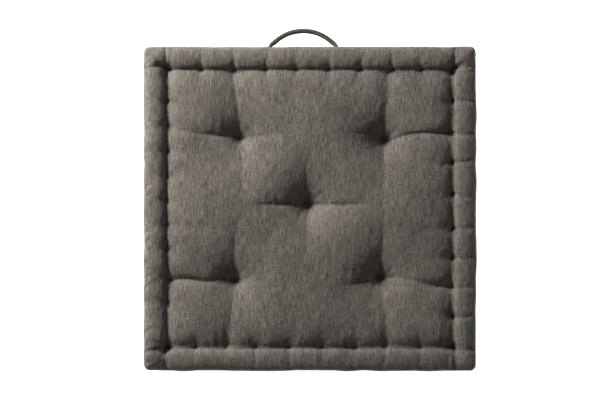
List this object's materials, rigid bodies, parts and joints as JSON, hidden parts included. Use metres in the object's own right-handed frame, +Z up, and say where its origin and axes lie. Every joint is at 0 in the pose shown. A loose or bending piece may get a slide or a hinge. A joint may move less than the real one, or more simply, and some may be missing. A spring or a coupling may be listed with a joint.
{
  "type": "floor cushion",
  "caption": "Square tufted floor cushion in washed grey linen, with stitched rolls along its edges and a carrying handle at the back.",
  "frame": {"origin": "on the floor, under the middle of the box round the cushion and its handle standing out", "axes": "+Z up through the cushion's thickness, +Y towards the side that carries the handle, +X to the right"},
  "size_m": [0.61, 0.632, 0.12],
  "materials": {
    "washed_linen": "washed slub linen, matt, warm dark grey",
    "handle_linen": "the handle's cloth, tightly rolled and stitched, darker grey",
    "waxed_thread": "twisted waxed thread",
    "fibre_wadding": "loose off-white fibre",
    "cotton_felt": "pressed cotton felt, undyed"
  },
  "bodies": {
    "cushion": {"top_panel": "washed_linen", "bottom_panel": "washed_linen", "front_boxing": "washed_linen", "back_boxing": "washed_linen", "left_boxing": "washed_linen", "right_boxing": "washed_linen", "core_pad": "cotton_felt", "top_wadding": "fibre_wadding", "bottom_wadding": "fibre_wadding", "top_roll_filler": "fibre_wadding", "bottom_roll_filler": "fibre_wadding", "tuft_tie_back_left": "waxed_thread", "tuft_tie_back_right": "waxed_thread", "tuft_tie_middle": "waxed_thread", "tuft_tie_front_left": "waxed_thread", "tuft_tie_front_right": "waxed_thread", "top_roll_thread_front": "waxed_thread", "top_roll_thread_back": "waxed_thread", "top_roll_thread_left": "waxed_thread", "top_roll_thread_right": "waxed_thread", "bottom_roll_thread_front": "waxed_thread", "bottom_roll_thread_back": "waxed_thread", "bottom_roll_thread_left": "waxed_thread", "bottom_roll_thread_right": "waxed_thread", "handle_tab_left": "handle_linen", "handle_tab_right": "handle_linen", "handle_stitch_left": "waxed_thread", "handle_stitch_right": "waxed_thread"},
    "handle": {"handle_loop": "handle_linen"}
  },
  "joints": [
    {"name": "handle_swing", "type": "hinge", "parent": "cushion", "child": "handle", "pos_m": [-0.012, 0.2828, 0.06], "axis": [1, 0, 0], "range_deg": [-60, 60], "stiffness_Nm_per_rad": 0.05}
  ]
}
